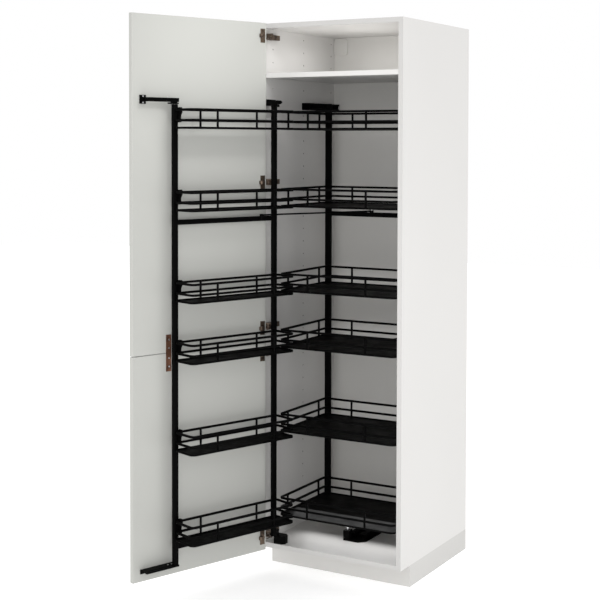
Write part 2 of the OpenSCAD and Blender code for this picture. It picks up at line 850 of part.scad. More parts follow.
// Channel that opens downwards, held at its far end by a flange on the door
module top_door_rail() {
    s0 = top_rail_ends[0];
    s1 = top_rail_ends[1];
    b0 = rail_b - rail_w / 2;
    slot = rail_w / 2 - rail_lip;
    flange_s = s1 - flange_reach;
    flange_z = top_rail_z - flange_drop;
    color(BLACK)
    in_door()
    difference() {
        union() {
            block([s0, b0, top_rail_z], [s1, b0 + rail_w, top_rail_z + rail_h]);
            block([flange_s, 0, flange_z], [flange_s + flange_w, flange_t, flange_z + flange_h]);
            block([s1 - foot_reach[0], 0, top_rail_z],
                [s1 - foot_reach[1], b0 + rail_wall, top_rail_z + foot_h]);
        }
        block([s0 - cut, b0 + rail_wall, top_rail_z + rail_wall],
            [s1 + cut, b0 + rail_w - rail_wall, top_rail_z + rail_h - rail_wall]);
        block([s0 - cut, rail_b - slot, top_rail_z - cut],
            [s1 + cut, rail_b + slot, top_rail_z + rail_wall + cut]);
        for (p = flange_screws()) door_screw(p[0], p[1], flange_t + cut, pin_fit);
    }
}

// Level plate with a slot for the bottom carriage, and a lip on the door
module bottom_door_rail() {
    s0 = bottom_rail_ends[0];
    s1 = bottom_rail_ends[1];
    slot_r = guide_pin_r + pin_fit;
    color(BLACK)
    in_door()
    difference() {
        union() {
            block([s0, 0, bottom_rail_z], [s1, bottom_rail_d, bottom_rail_z + bottom_rail_t]);
            block([s0, 0, bottom_rail_z - lip_h], [s1, lip_t, bottom_rail_z]);
        }
        for (s = [carriage_s, carriage_end]) {
            post(s, rail_b, bottom_rail_z - cut, bottom_rail_z + bottom_rail_t + cut, slot_r);
        }
        block([carriage_s, rail_b - slot_r, bottom_rail_z - cut],
            [carriage_end, rail_b + slot_r, bottom_rail_z + bottom_rail_t + cut]);
        for (p = lip_screws()) door_screw(p[0], p[1], lip_t + cut, pin_fit);
    }
}

module rail_screws() {
    rail_top = top_rail_z + rail_h;
    color(STEEL)
    in_door() {
        for (p = flange_screws()) screw(p[0], p[1], flange_t);
        for (p = lip_screws()) screw(p[0], p[1], lip_t);
        post(top_rail_ends[0] + stud_s, rail_b, rail_top, rail_top + stud_h, screw_head_r);
        for (s = level_screw_s) {
            post(bottom_rail_ends[0] + s, level_screw_b, bottom_rail_z + bottom_rail_t,
                bottom_rail_z + bottom_rail_t + screw_head_t, screw_head_r);
        }
    }
}

// Slider in the top door rail, over the free upright
module top_carriage() {
    s = carriage_s;
    half = rail_w / 2 - rail_wall - slide_gap;
    neck = rail_w / 2 - rail_lip - neck_gap;
    rail_in = top_rail_z + rail_wall + slide_gap;
    rail_roof = top_rail_z + rail_h - rail_wall - slide_gap;
    color(BLACK)
    in_door() {
        block([s - plate_past[0], rail_b - rail_w / 2, top_plate_z],
            [s + plate_past[1], rail_b + rail_w / 2, top_plate_z + carriage_plate_t]);
        block([s - slider_past[0], rail_b - neck, top_plate_z],
            [s + slider_past[1], rail_b + neck, rail_in + cut]);
        block([s - slider_past[0], rail_b - half, rail_in],
            [s + slider_past[1], rail_b + half, rail_roof]);
    }
}

// Disc on the bottom door rail with its guide pin, under the free upright
module bottom_carriage() {
    rail_top = bottom_rail_z + bottom_rail_t;
    color(BLACK)
    in_door() {
        post(carriage_s, rail_b, rail_top + seat_gap, rail_top + disc_t, disc_r);
        post(carriage_s, rail_b, bottom_rail_z + pin_float, rail_top + cut, guide_pin_r);
        post(carriage_s, rail_b, rail_top + disc_t - cut, frame_bottom - carriage_gap, stem_r);
    }
}

// ---------- Frame on the door side ----------

// Upright with rounded edges
module upright(x, w, z0, z1) {
    translate([x - w / 2, -upright_d / 2, z0])
    linear_extrude(z1 - z0)
    round_rect(w, upright_d, upright_edge_r);
}

module front_upright_free() {
    color(BLACK) in_front_frame() upright(frame_w, upright_w, frame_bottom, frame_top);
}

module front_upright_pivot() {
    color(BLACK) in_front_frame() upright(0, upright_w, frame_bottom, frame_top);
}

// Crossbar between the door-side uprights, with the seat of a link rod on it
module front_crossbar(z) {
    color(BLACK)
    in_front_frame() {
        block([upright_w / 2, -bar_t / 2, z], [frame_w - upright_w / 2, bar_t / 2, z + bar_h]);
        block([link_a - eye_r, 0, z + rod_seat_up], [link_a + eye_r, link_b, z + bar_h]);
        post(link_a, link_b, z + rod_seat_up, z + bar_h + rod_lift - eye_t / 2 - seat_gap, eye_r);
    }
}

// Lever from a pivot pin to the pivot upright
module pivot_lever(z, t) {
    reach = norm([upright_off_a, upright_off_b]);
    color(BLACK)
    in_front_frame()
    translate([0, 0, z])
    linear_extrude(t)
    difference() {
        union() {
            translate([-upright_off_a, -upright_off_b]) circle(boss_r);
            translate([-upright_off_a, -upright_off_b])
            rotate(atan2(upright_off_b, upright_off_a))
            translate([0, -lever_w / 2])
            square([reach, lever_w]);
            square([upright_w, upright_d], center = true);
        }
        translate([-upright_off_a, -upright_off_b]) circle(pivot_r + pin_fit);
    }
}

module top_pivot_lever() {
    pivot_lever(frame_top, top_lever_t);
}

module base_pivot_lever() {
    pivot_lever(frame_bottom - base_lever_t, base_lever_t);
}

// Arm from the left side panel to the upper pivot, with its wall plate
module top_pivot_bracket() {
    z = top_bracket_z;
    x1 = pivot_x + bracket_past;
    front = -bracket_front;
    color(BLACK)
    difference() {
        union() {
            block([-inner_x, front, z], [x1, front + bracket_w, z + bracket_t]);
            block([-inner_x, front, z - bracket_plate_rise],
                [-inner_x + bracket_plate_t, front + bracket_plate_len,
                    z + bracket_t + bracket_plate_rise]);
            translate([x1 - cut, bracket_w / 2, z + bracket_t / 2])
            rotate([0, 90, 0])
            cylinder(h = stub_len + cut, r = stub_r);
        }
        post(pivot_x, pivot_back, z - cut, z + bracket_t + cut, pivot_r + pin_fit);
    }
}

module top_pivot_pin() {
    color(STEEL)
    post(pivot_x, pivot_back, frame_top + pin_float, top_bracket_z + bracket_t, pivot_r);
}

// Block on the bottom panel with the lower pivot's collar
module base_pivot_bracket() {
    z1 = floor_z + base_block_h;
    color(BLACK)
    difference() {
        union() {
            translate([pivot_x - base_block_left, base_block_y, floor_z])
            linear_extrude(base_block_h)
            polygon([
                [0, 0],
                [base_block_w - base_block_cut, 0],
                [base_block_w, base_block_cut],
                [base_block_w, base_block_d - base_block_cut],
                [base_block_w - base_block_cut, base_block_d],
                [0, base_block_d]
            ]);
            post(pivot_x, pivot_back + collar_back, z1 - cut,
                frame_bottom - base_lever_t - seat_gap, collar_r);
        }
        post(pivot_x, pivot_back, floor_z + base_pin_foot, frame_bottom, pivot_r + pin_fit);
    }
}

module base_pivot_pin() {
    color(STEEL)
    post(pivot_x, pivot_back, floor_z + base_pin_foot, frame_bottom - base_pin_drop, pivot_r);
}

// ---------- Baskets ----------

// Level ring of wire around a basket, from the corner of its middle line
module wire_ring(w, d, z) {
    half = wire_t / 2;
    translate([-half, -half, z - half])
    linear_extrude(wire_t)
    difference() {
        round_rect(w + wire_t, d + wire_t, corner_r + half);
        translate([wire_t, wire_t]) round_rect(w - wire_t, d - wire_t, corner_r - half);
    }
}

// Two rings of wire, struts and a rimmed floor
module basket(w, d, struts_x, struts_y) {
    half = wire_t / 2;
    wire_ring(w, d, 0);
    wire_ring(w, d, -wire_drop);
    difference() {
        translate([-half, -half, -basket_h])
        linear_extrude(rim_h)
        round_rect(w + wire_t, d + wire_t, corner_r + half);
        translate([rim_t - half, rim_t - half, basket_floor_t - basket_h])
        linear_extrude(rim_h)
        round_rect(w + wire_t - 2 * rim_t, d + wire_t - 2 * rim_t, corner_r + half - rim_t);
    }
    for (x = struts_x, y = [0, d]) post(x, y, cut - basket_h, 0, strut_r);
    for (x = [0, w], y = struts_y) post(x, y, cut - basket_h, 0, strut_r);
}

module front_tray(i) {
    color(BLACK)
    in_front_frame()
    translate([-basket_past_pivot, wire_b0, basket_z(i)])
    basket(door_basket_w, door_basket_d,
        [basket_past_pivot + door_strut_inset[0], basket_past_pivot + frame_w - door_strut_inset[1]],
        []);
}

module rear_tray(i) {
    color(BLACK)
    translate([rear_left_x, rear_front_y, basket_z(i)])
    basket(rear_basket_w, rear_basket_d,
        [rear_basket_w / 2 - rear_strut_half, rear_basket_w / 2 + rear_strut_half],
        [rear_strut_inset, rear_basket_d - rear_strut_inset]);
}

// Hook around a basket's two wires. x runs along the upright's face from its inner edge,
// away from the basket's middle, and y from the face to the basket.
module basket_hook() {
    top = wire_t / 2 + hook_gap;
    foot = -wire_drop - wire_t / 2 - hook_gap;
    leg_y = basket_gap + wire_t + hook_gap;
    reach = leg_y + hook_leg_foot;
    tab = hook_w + hook_in + hook_tab;
    seat = wire_t + 2 * hook_gap;
    translate([-hook_in - hook_w, 0, 0]) {
        rotate([90, 0, 90])
        linear_extrude(hook_w)
        polygon([
            [leg_y, foot - hook_t],
            [reach, foot - hook_t],
            [leg_y + hook_leg_top, top + hook_t],
            [leg_y, top + hook_t]
        ]);
        translate([0, 0, top]) cube([tab, leg_y + cut, hook_t]);
        translate([0, 0, foot - hook_t]) cube([tab, leg_y + cut, hook_t]);
        translate([0, 0, foot + seat]) cube([hook_w, leg_y + cut, top - foot - 2 * seat]);
    }
}

module front_tray_clips() {
    color(BLACK)
    in_front_frame()
    for (i = BASKETS) {
        translate([frame_w - upright_w / 2, upright_d / 2, basket_z(i)]) basket_hook();
        translate([upright_w / 2, upright_d / 2, basket_z(i)]) mirror([1, 0, 0]) basket_hook();
    }
}

module rear_tray_clips() {
    face = rear_upright_y - upright_d / 2;
    color(BLACK)
    for (i = BASKETS) {
        translate([right_upright_x - rear_upright_w / 2, face, basket_z(i)])
        mirror([0, 1, 0])
        basket_hook();
        translate([left_upright_x + rear_upright_w / 2, face, basket_z(i)])
        rotate(180)
        basket_hook();
    }
}

// ---------- Frame in the cabinet ----------

module rear_upright(x) {
    color(BLACK)
    translate([0, rear_upright_y, 0])
    upright(x, rear_upright_w, low_bar_z, rear_top);
}

// Crossbar between the rear uprights, with the seat and bore of a link rod's pin
module rear_crossbar(z) {
    x0 = left_upright_x + rear_upright_w / 2;
    x1 = right_upright_x - rear_upright_w / 2;
    color(BLACK)
    difference() {
        union() {
            block([x0, rear_upright_y - bar_t / 2, z], [x1, rear_upright_y + bar_t / 2, z + bar_h]);
            post(rod_rear[0], rod_rear[1], z + rod_seat_up,
                z + bar_h + rod_lift - eye_t / 2 - seat_gap, eye_r);
        }
        post(rod_rear[0], rod_rear[1], z + rod_pin_up, z + bar_h + rod_lift, rod_pin_r + pin_fit);
    }
}

// Rod from the door-side frame to the rear frame, with an eye at each end
module link_rod(bar_z) {
    z = bar_z + bar_h + rod_lift;
    way = rod_front - rod_rear;
    color(BLACK)
    difference() {
        union() {
            for (p = [rod_front, rod_rear]) post(p[0], p[1], z - eye_t / 2, z + eye_t / 2, eye_r);
            translate([rod_rear[0], rod_rear[1], z])
            rotate(atan2(way[1], way[0]))
            rotate([0, 90, 0])
            cylinder(h = norm(way), r = rod_r);
        }
        for (p = [rod_front, rod_rear]) post(p[0], p[1], z - eye_t, z + eye_t, rod_pin_r + pin_fit);
    }
}

module link_pins() {
    color(STEEL)
    for (bar_z = [mid_bar_z, low_bar_z]) {
        z = bar_z + bar_h + rod_lift + eye_t / 2 + seat_gap;
        post(rod_rear[0], rod_rear[1], bar_z + rod_pin_up, z + cut, rod_pin_r);
        post(rod_rear[0], rod_rear[1], z, z + rod_pin_head_t, rod_pin_head_r);
    }
}

// ---------- Guides in the cabinet ----------

// Rail on the left side panel, with its slot to the right and a cap on its rear end
module top_guide_rail() {
    x1 = -inner_x + guide_w;
    color(BLACK)
    difference() {
        block([-inner_x, guide_front, guide_z], [x1, guide_end + guide_cap_t, guide_z + guide_h]);
        block([-inner_x + guide_wall, guide_front - cut, guide_z + guide_wall],
            [x1 - guide_wall, guide_end, guide_z + guide_h - guide_wall]);
        block([x1 - guide_wall - slide_gap - 2 * cut, guide_front - cut, guide_mid - guide_slot / 2],
            [x1 + cut, guide_end + guide_cap_t + cut, guide_mid + guide_slot / 2]);
    }
}

// Slider in the top guide rail, with its arm to the left rear upright
module rear_top_carriage() {
    x0 = -inner_x + guide_wall + slide_gap;
    x1 = -inner_x + guide_w - guide_wall - slide_gap;
    arm_half = guide_slot / 2 - slide_gap;
    upright_x = left_upright_x - rear_upright_w / 2;
    color(BLACK) {
        block([x0, slider_y, guide_z + guide_wall + slide_gap],
            [x1, slider_y + slider_len, guide_z + guide_h - guide_wall - slide_gap]);
        block([x1 - cut, slider_y + slider_arm_in, guide_mid - arm_half],
            [upright_x, slider_y + slider_len + slider_arm_past, guide_mid + arm_half]);
    }
}

// Plate on the bottom panel with a lipped channel, and the stop block at its front
module base_runner() {
    x0 = -inner_x + runner_in;
    y1 = runner_front + runner_len;
    z1 = floor_z + runner_t;
    z2 = z1 + channel_h;
    half = channel_w / 2;
    color(BLACK)
    difference() {
        union() {
            translate([x0, runner_front, floor_z])
            linear_extrude(runner_t)
            polygon([
                [0, 0],
                [runner_w - runner_cut, 0],
                [runner_w, runner_cut],
                [runner_w, runner_len],
                [0, runner_len]
            ]);
            block([channel_x - half, channel_y, floor_z], [channel_x + half, y1, z2]);
            block([x0, stop_y, floor_z], [x0 + stop_w, stop_y + stop_d, floor_z + stop_h]);
        }
        block([channel_x - half + channel_wall, channel_y - cut, z1],
            [channel_x + half - channel_wall, y1 + cut, z2 - channel_wall]);
        block([channel_x - channel_slot / 2, channel_y - cut, z1],
            [channel_x + channel_slot / 2, y1 + cut, z2 + cut]);
        post(x0 + stop_w / 2, stop_y + stop_d / 2, floor_z + stop_h - stop_pin_deep,
            floor_z + stop_h + cut, stop_pin_r + pin_fit);
    }
}

module runner_stop_pin() {
    color(STEEL)
    post(-inner_x + runner_in + stop_w / 2, stop_y + stop_d / 2,
        floor_z + stop_h - stop_pin_deep, floor_z + stop_h + stop_pin_rise, stop_pin_r);
}

// Slider in the base runner's channel, with a post up to the low crossbar
module rear_base_carriage() {
    z0 = floor_z + runner_t + seat_gap;
    z1 = floor_z + runner_t + channel_h - channel_wall - seat_gap;
    half = channel_w / 2 - channel_wall - slide_gap;
    color(BLACK) {
        block([channel_x - half, carriage_y, z0], [channel_x + half, carriage_y + carriage_len, z1]);
        block([channel_x - post_w / 2, rear_upright_y - post_w / 2, z1 - cut],
            [channel_x + post_w / 2, rear_upright_y + post_w / 2, low_bar_z]);
    }
}

side_panel(-1);  // side_panel_left
side_panel(1);  // side_panel_right
level_panel(roof_z);  // top_panel
level_panel(plinth_h);  // bottom_panel
back_panel();
fixed_shelf();
carcass_dowels();
plinth_front();
plinth_side(-half_w + plinth_left_inset);  // plinth_left
plinth_side(half_w - plinth_t);  // plinth_right
levelling_legs();
hinge_arms();
top_pivot_bracket();
top_pivot_pin();
base_pivot_bracket();
base_pivot_pin();
top_guide_rail();
base_runner();
runner_stop_pin();
door_upper_panel();
door_lower_panel();
joining_plate();
joining_screws();
hinge_cups();
top_door_rail();
bottom_door_rail();
rail_screws();
hinge_links();
top_carriage();
bottom_carriage();
front_upright_free();
front_upright_pivot();
front_crossbar(mid_bar_z);  // front_crossbar_mid
front_crossbar(low_bar_z);  // front_crossbar_low
top_pivot_lever();
base_pivot_lever();
front_tray_clips();
front_tray(1);  // front_tray_1
front_tray(2);  // front_tray_2
front_tray(3);  // front_tray_3
front_tray(4);  // front_tray_4
front_tray(5);  // front_tray_5
front_tray(6);  // front_tray_6
link_rod(mid_bar_z);  // link_rod_mid
link_rod(low_bar_z);  // link_rod_low
rear_upright(left_upright_x);  // rear_upright_left
rear_upright(right_upright_x);  // rear_upright_right
rear_crossbar(mid_bar_z);  // rear_crossbar_mid
rear_crossbar(low_bar_z);  // rear_crossbar_low
rear_tray_clips();
rear_base_carriage();
rear_top_carriage();
link_pins();
rear_tray(1);  // rear_tray_1
rear_tray(2);  // rear_tray_2
rear_tray(3);  // rear_tray_3
rear_tray(4);  // rear_tray_4
rear_tray(5);  // rear_tray_5
rear_tray(6);  // rear_tray_6
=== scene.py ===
"""Looks of a tall larder cabinet with swinging and sliding wire baskets, on its CAD frame."""

import json
import math

import bmesh
import bpy
from mathutils import Matrix, Vector


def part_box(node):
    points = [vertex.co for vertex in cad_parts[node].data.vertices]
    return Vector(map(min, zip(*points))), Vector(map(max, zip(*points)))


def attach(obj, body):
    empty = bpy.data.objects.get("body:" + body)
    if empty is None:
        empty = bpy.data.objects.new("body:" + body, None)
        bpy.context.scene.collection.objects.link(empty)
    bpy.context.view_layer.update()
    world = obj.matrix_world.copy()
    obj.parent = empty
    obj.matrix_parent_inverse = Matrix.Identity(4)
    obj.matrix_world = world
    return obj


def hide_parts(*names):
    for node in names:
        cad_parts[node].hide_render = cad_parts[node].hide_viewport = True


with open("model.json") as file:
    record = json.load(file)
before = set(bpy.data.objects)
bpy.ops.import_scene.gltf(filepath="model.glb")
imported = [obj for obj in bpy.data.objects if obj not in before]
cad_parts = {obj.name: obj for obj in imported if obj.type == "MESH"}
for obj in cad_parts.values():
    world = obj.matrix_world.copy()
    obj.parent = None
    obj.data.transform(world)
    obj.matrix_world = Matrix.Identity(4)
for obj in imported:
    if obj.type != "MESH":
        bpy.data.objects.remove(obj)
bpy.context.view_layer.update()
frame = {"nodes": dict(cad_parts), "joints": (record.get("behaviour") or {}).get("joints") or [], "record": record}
NODES = frame["nodes"]
MM = 0.001


# ---------------------------------------------------------------- camera

# Where the camera stood, in the cabinet's frame, and the way it looked, in radians
CAMERA_PLACE = Vector((2.3052, -4.1610, 1.6297))
CAMERA_YAW = 0.52169
CAMERA_PITCH = -0.03511
CAMERA_ROLL = 0.0023
IMAGE_SIDE = 600
FOCAL_PIXELS = 1288.3
# Pixel that the camera's axis meets
CENTRE_PIXEL = (308.65, 187.95)
SENSOR = 36.0
CLIP_NEAR, CLIP_FAR = 0.1, 60.0


def make_camera():
    data = bpy.data.cameras.new("photo_camera")
    data.sensor_fit = "HORIZONTAL"
    data.sensor_width = SENSOR
    data.lens = FOCAL_PIXELS / IMAGE_SIDE * SENSOR
    data.shift_x = (IMAGE_SIDE / 2 - CENTRE_PIXEL[0]) / IMAGE_SIDE
    data.shift_y = (CENTRE_PIXEL[1] - IMAGE_SIDE / 2) / IMAGE_SIDE
    data.clip_start, data.clip_end = CLIP_NEAR, CLIP_FAR
    camera = bpy.data.objects.new("photo_camera", data)
    level = math.cos(CAMERA_PITCH)
    forward = Vector((-math.sin(CAMERA_YAW) * level, math.cos(CAMERA_YAW) * level,
                      math.sin(CAMERA_PITCH)))
    right = Vector((math.cos(CAMERA_YAW), math.sin(CAMERA_YAW), 0.0))
    up = right.cross(forward)
    turned_right = right * math.cos(CAMERA_ROLL) + up * math.sin(CAMERA_ROLL)
    turned_up = up * math.cos(CAMERA_ROLL) - right * math.sin(CAMERA_ROLL)
    camera.matrix_world = Matrix.Translation(CAMERA_PLACE) @ Matrix(
        (turned_right, turned_up, -forward)).transposed().to_4x4()
    bpy.context.scene.collection.objects.link(camera)
    bpy.context.scene.camera = camera


# ---------------------------------------------------------------- shader maths


class Value:
    """A shader socket or number on which the usual operators add Math nodes."""

    def __init__(self, graph, link):
        self.graph = graph
        self.link = link

    def _maths(self, operation, *values):
        return self.graph.node("ShaderNodeMath", {"operation": operation}, dict(enumerate(values)))

    def __add__(self, other):
        return self._maths("ADD", self, other)

    __radd__ = __add__

    def __mul__(self, other):
        return self._maths("MULTIPLY", self, other)

    __rmul__ = __mul__

    def __sub__(self, other):
        return self._maths("SUBTRACT", self, other)

    def __rsub__(self, other):
        return self._maths("SUBTRACT", other, self)

    def over(self, edge):
        """1 where the value is above the edge, else 0."""
        return self._maths("GREATER_THAN", self, edge)

    def absolute(self):
        return self._maths("ABSOLUTE", self)

    def between(self, low, high, new_low=0.0, new_high=1.0):
        """The value moved smoothly from one range to another, and kept inside it."""
        return self.graph.node("ShaderNodeMapRange", {"interpolation_type": "SMOOTHSTEP"}, {
            "Value": self, "From Min": low, "From Max": high, "To Min": new_low, "To Max": new_high})


class Graph:
    """A material's node tree with a Principled shader at its end."""

    def __init__(self, name):
        self.material = bpy.data.materials.new(name)
        self.material.use_nodes = True
        self.tree = self.material.node_tree
        self.tree.nodes.clear()
        self.shader = self.tree.nodes.new("ShaderNodeBsdfPrincipled")
        output = self.tree.nodes.new("ShaderNodeOutputMaterial")
        self.tree.links.new(self.shader.outputs[0], output.inputs["Surface"])
        self.place = self.node("ShaderNodeTexCoord", {}, {}, "Object")

    def node(self, kind, settings, values, output=0):
        """Adds a node, sets its settings and then its sockets, and returns one output."""
        made = self.tree.nodes.new(kind)
        for name, setting in settings.items():
            setattr(made, name, setting)
        for key, value in values.items():
            if isinstance(value, Value):
                self.tree.links.new(value.link, made.inputs[key])
            else:
                made.inputs[key].default_value = value
        return Value(self, made.outputs[output])

    def axis(self, letter):
        """One coordinate of the place on the object."""
        return self.node("ShaderNodeSeparateXYZ", {}, {"Vector": self.place}, letter)

    def noise(self, scale, detail, stretch=(1.0, 1.0, 1.0)):
        place = self.node("ShaderNodeMapping", {}, {"Vector": self.place, "Scale": stretch})
        return self.node("ShaderNodeTexNoise", {}, {
            "Vector": place, "Scale": scale, "Detail": detail})

    def mix(self, factor, colour_a, colour_b):
        """A colour between two colours."""
        return self.node("ShaderNodeMix", {"data_type": "RGBA"}, {
            0: factor, 6: colour_a, 7: colour_b}, 2)

    def bump(self, height, strength, distance, below=None):
        values = {"Height": height, "Strength": strength, "Distance": distance}
        if below is not None:
            values["Normal"] = below
        return self.node("ShaderNodeBump", {}, values)

    def set(self, **sockets):
        """Sets the shader's sockets; a name's underscores stand for spaces."""
        for name, value in sockets.items():
            socket = self.shader.inputs[name.replace("_", " ")]
            if isinstance(value, Value):
                self.tree.links.new(value.link, socket)
            else:
                socket.default_value = value
        return self.material


def shade(red, green, blue):
    return (red, green, blue, 1.0)


def grey(level):
    return shade(level, level, level)


# ---------------------------------------------------------------- finishes

# Box round the bores of the side panels, by distance from the middle, depth and height
BORES_LOW = (0.2824, 0.02, 0.1)
BORES_HIGH = (0.2995, 0.54, 2.06)
# Thickness of the band on the boards' front edges, whose darker colour is partly the band's own and partly painted
# shade
SHADED_BAND_T = 0.8 * MM
# Part of a noise's range that is spread over the whole of a roughness range
MIDDLE = (0.3, 0.7)


def melamine(name, colour, inner, roughness=0.42, bored=False, band=None):
    """Melamine-faced board: faint pearl texture and a tone that drifts a little.
    In the bores of a side panel a wood core shows, drawn darker than the core as painted shade in the holes, and a
    band covers the front edges in a darker colour that is partly painted shade."""
    g = Graph(name)
    drift = g.noise(1.3, 2.0)
    pearl = g.noise(900.0, 2.0)
    pits = g.noise(260.0, 3.0)
    tone = g.mix(drift.between(0.35, 0.65), colour, inner)
    if bored:
        places = (g.axis("X").absolute(), g.axis("Y"), g.axis("Z"))
        inside = 1.0
        for place, low, high in zip(places, BORES_LOW, BORES_HIGH):
            inside = inside * place.over(low) * (1.0 - place.over(high))
        # Bore walls: the wood core's colour, made darker as painted shade in the holes
        core_and_bore_shade = g.mix(g.noise(420.0, 2.0), shade(0.05, 0.035, 0.022), shade(0.12, 0.085, 0.055))
        tone = g.mix(inside, tone, core_and_bore_shade)
    # The front edges get the band's colour, darker than the faces: partly the real edge band, partly painted shade
    # that takes back the front lamps' light
    if band:
        front = 1.0 - g.axis("Y").over(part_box("side_panel_left")[0][1] + SHADED_BAND_T)
        tone = g.mix(front, tone, band)
    bump = g.bump(pearl, 0.06, 0.0002)
    bump = g.bump(pits, 0.05, 0.0003, bump)
    return g.set(Base_Color=tone, Specular_IOR_Level=0.4, Normal=bump,
                 Roughness=pits.between(*MIDDLE, roughness - 0.05, roughness + 0.07))


def powder_coat(name, colour, worn):
    """Baked black coating on steel: fine grain, slightly uneven gloss."""
    g = Graph(name)
    grain = g.noise(1400.0, 2.0)
    cloud = g.noise(14.0, 3.0)
    tone = g.mix(cloud.between(0.4, 0.75), colour, worn)
    bump = g.bump(grain, 0.14, 0.0002)
    return g.set(Base_Color=tone, Specular_IOR_Level=0.03, Normal=bump,
                 Roughness=cloud.between(*MIDDLE, 0.46, 0.6))


def plated(name, colour, tarnish, roughness, metallic=1.0):
    """Plated metal with a fine brushed grain and a little tarnish."""
    g = Graph(name)
    brush = g.noise(300.0, 2.0, (1.0, 1.0, 14.0))
    spots = g.noise(45.0, 4.0)
    tone = g.mix(spots.between(0.45, 0.7), colour, tarnish)
    return g.set(Base_Color=tone, Metallic=metallic, Normal=g.bump(brush, 0.08, 0.0002),
                 Roughness=brush.between(*MIDDLE, roughness - 0.05, roughness + 0.1))


def moulded_plastic(name, colour):
    """Plastic with a fine sanded texture."""
    g = Graph(name)
    sand = g.noise(1100.0, 2.0)
    return g.set(Base_Color=colour, Normal=g.bump(sand, 0.1, 0.0002),
                 Roughness=sand.between(*MIDDLE, 0.4, 0.5))


def beech(name):
    """Turned hardwood with grain along the dowel."""
    g = Graph(name)
    grain = g.noise(120.0, 4.0, (0.1, 1.0, 1.0))
    return g.set(Base_Color=g.mix(grain, shade(0.55, 0.37, 0.2), shade(0.68, 0.5, 0.3)),
                 Roughness=0.6, Normal=g.bump(grain, 0.2, 0.0003))


MATERIALS = {
    # The darker band on the carcass's front edges is partly the real edge band and partly painted shade
    "carcass_board": melamine("carcass_melamine", shade(0.69, 0.68, 0.665),
                              shade(0.68, 0.67, 0.655), bored=True, band=shade(0.54, 0.532, 0.52)),
    # The plinth is drawn darker than the carcass as painted shade under the cabinet
    "plinth_board": melamine("plinth_melamine_painted_shade", shade(0.58, 0.572, 0.555),
                             shade(0.565, 0.557, 0.54)),
    "back_board": melamine("back_lacquer", shade(0.70, 0.69, 0.665), shade(0.69, 0.68, 0.655), 0.5),
    # The door is the carcass's white melamine, drawn much darker as painted shade on its inner face
    "door_board": melamine("door_melamine_painted_shade", shade(0.5, 0.503, 0.475), shade(0.49, 0.493, 0.465)),
    "dowel_wood": beech("dowel_beech"),
    "leg_plastic": moulded_plastic("leg_plastic", grey(0.02)),
    "hinge_bronze": plated("hinge_bronze", shade(0.15, 0.112, 0.084),
                           shade(0.06, 0.043, 0.034), 0.34, 0.85),
    "copper_plate": plated("joint_copper", shade(0.22, 0.105, 0.066),
                           shade(0.1, 0.05, 0.035), 0.4, 0.8),
    "bright_steel": plated("zinc_steel", shade(0.62, 0.62, 0.63), grey(0.5), 0.3),
    "black_coating": powder_coat("frame_coating", grey(0.0015), grey(0.003)),
    "black_basket": powder_coat("basket_coating", grey(0.0015), grey(0.003)),
}


def dress_nodes():
    """Gives every CAD node the finish of its own slot."""
    slots = {part["node"]: part["material_slot"] for part in frame["record"]["subparts"]}
    for name, node in NODES.items():
        for slot in node.material_slots:
            slot.material = MATERIALS[slots[name]]


# ---------------------------------------------------------------- geometry nodes


class Geometry:
    """A geometry node tree with named inputs."""

    def __init__(self, name, inputs):
        self.tree = bpy.data.node_groups.new(name, "GeometryNodeTree")
        self.identifiers = {}
        for label, kind in inputs.items():
            socket = self.tree.interface.new_socket(label, in_out="INPUT", socket_type=kind)
            self.identifiers[label] = socket.identifier
        self.tree.interface.new_socket("Geometry", in_out="OUTPUT", socket_type="NodeSocketGeometry")
        self.group_input = self.tree.nodes.new("NodeGroupInput")

    def __getitem__(self, label):
        return self.group_input.outputs[label]

    def node(self, kind, settings, values):
        """Adds a node, sets its settings and then its sockets, and returns its first output."""
        made = self.tree.nodes.new(kind)
        for name, setting in settings.items():
            setattr(made, name, setting)
        for key, value in values.items():
            if isinstance(value, bpy.types.NodeSocket):
                self.tree.links.new(value, made.inputs[key])
            else:
                made.inputs[key].default_value = value
        return made.outputs[0]

    def maths(self, operation, a, b):
        return self.node("ShaderNodeMath", {"operation": operation}, {0: a, 1: b})

    def vector(self, x=0.0, y=0.0, z=0.0):
        return self.node("ShaderNodeCombineXYZ", {}, {0: x, 1: y, 2: z})

    def join(self, pieces):
        made = self.tree.nodes.new("GeometryNodeJoinGeometry")
        for piece in pieces:
            self.tree.links.new(piece, made.inputs[0])
        return made.outputs[0]

    def finish(self, geometry, material):
        real = self.node("GeometryNodeRealizeInstances", {}, {"Geometry": geometry})
        coated = self.node("GeometryNodeSetMaterial", {}, {"Geometry": real, "Material": material})
        output = self.tree.nodes.new("NodeGroupOutput")
        self.tree.links.new(coated, output.inputs[0])


def grown(geometry, name, values, place):
    """Runs a geometry node tree and returns its result as a plain mesh object in its place."""
    seed = bpy.data.objects.new(name + "_seed", bpy.data.meshes.new(name + "_seed"))
    bpy.context.scene.collection.objects.link(seed)
    modifier = seed.modifiers.new("grow", "NODES")
    modifier.node_group = geometry.tree
    for label, value in values.items():
        modifier[geometry.identifiers[label]] = value
    graph = bpy.context.evaluated_depsgraph_get()
    mesh = bpy.data.meshes.new_from_object(seed.evaluated_get(graph))
    bpy.data.objects.remove(seed)
    mesh.transform(place)
    mesh.name = name
    piece = bpy.data.objects.new(name, mesh)
    bpy.context.scene.collection.objects.link(piece)
    return piece


# Steps round an outline's corner and a wire's edge, and the edge's radius as a share of the wire's
CORNER_STEPS = 7
WIRE_STEPS = 3
WIRE_SOFTNESS = 0.42
STRUT_SIDES = 12


